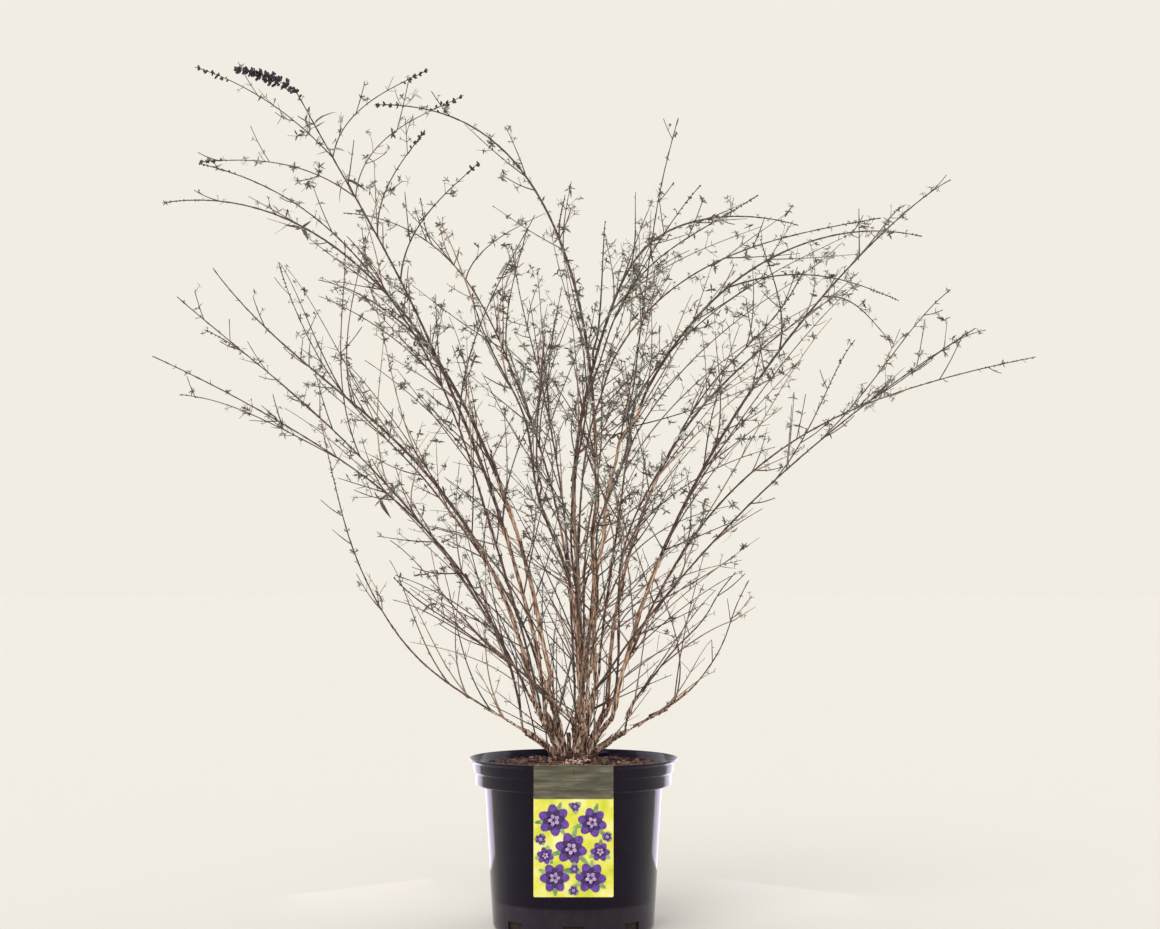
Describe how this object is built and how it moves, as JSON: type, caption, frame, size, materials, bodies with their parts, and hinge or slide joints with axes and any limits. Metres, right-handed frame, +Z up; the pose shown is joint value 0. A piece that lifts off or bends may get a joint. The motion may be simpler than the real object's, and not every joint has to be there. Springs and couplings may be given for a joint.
{
  "type": "butterfly bush in a nursery pot",
  "caption": "Deciduous shrub in winter: bare arching canes with small leaf tufts and spent flower spikes, rising from a forked stool in a black plastic pot with a hanging label.",
  "frame": {"origin": "centre of the pot's flat underside", "axes": "+Z up, +X to the right of the front view, +Y away from the viewer; the label hangs at the front, -Y"},
  "size_m": [1.2576, 1.072, 1.1595],
  "materials": {
    "black_plastic": "moulded black polypropylene, glossy",
    "compost": "moist bark compost, rough",
    "label_card": "printed plastic card, satin",
    "bark": "thin shredding bark, matt",
    "twigs_and_leaves": "grey-brown twigs with felted grey-green leaves, matt"
  },
  "bodies": {
    "root": {"pot": "black_plastic", "compost": "compost", "label": "label_card", "stool": "bark", "cane_01": "bark", "cane_02": "bark", "cane_03": "bark", "cane_04": "bark", "cane_05": "bark", "cane_06": "bark", "cane_07": "bark", "cane_08": "bark", "cane_09": "bark", "cane_10": "bark", "cane_11": "bark", "cane_12": "bark", "cane_13": "bark", "cane_14": "bark", "cane_15": "bark", "cane_16": "bark", "cane_17": "bark", "cane_18": "bark", "cane_19": "bark", "cane_20": "bark", "cane_21": "bark", "cane_22": "bark", "cane_23": "bark", "cane_24": "bark", "cane_25": "bark", "cane_26": "bark", "cane_27": "bark", "twigs_01": "twigs_and_leaves", "twigs_02": "twigs_and_leaves", "twigs_03": "twigs_and_leaves", "twigs_04": "twigs_and_leaves", "twigs_05": "twigs_and_leaves", "twigs_06": "twigs_and_leaves", "twigs_07": "twigs_and_leaves", "twigs_08": "twigs_and_leaves", "twigs_09": "twigs_and_leaves", "twigs_10": "twigs_and_leaves", "twigs_11": "twigs_and_leaves", "twigs_12": "twigs_and_leaves", "twigs_13": "twigs_and_leaves", "twigs_14": "twigs_and_leaves", "twigs_15": "twigs_and_leaves", "twigs_16": "twigs_and_leaves", "twigs_17": "twigs_and_leaves", "twigs_18": "twigs_and_leaves", "twigs_19": "twigs_and_leaves", "twigs_20": "twigs_and_leaves", "twigs_21": "twigs_and_leaves", "twigs_22": "twigs_and_leaves", "twigs_23": "twigs_and_leaves", "twigs_24": "twigs_and_leaves", "twigs_25": "twigs_and_leaves", "twigs_26": "twigs_and_leaves", "twigs_27": "twigs_and_leaves"}
  },
  "joints": []
}
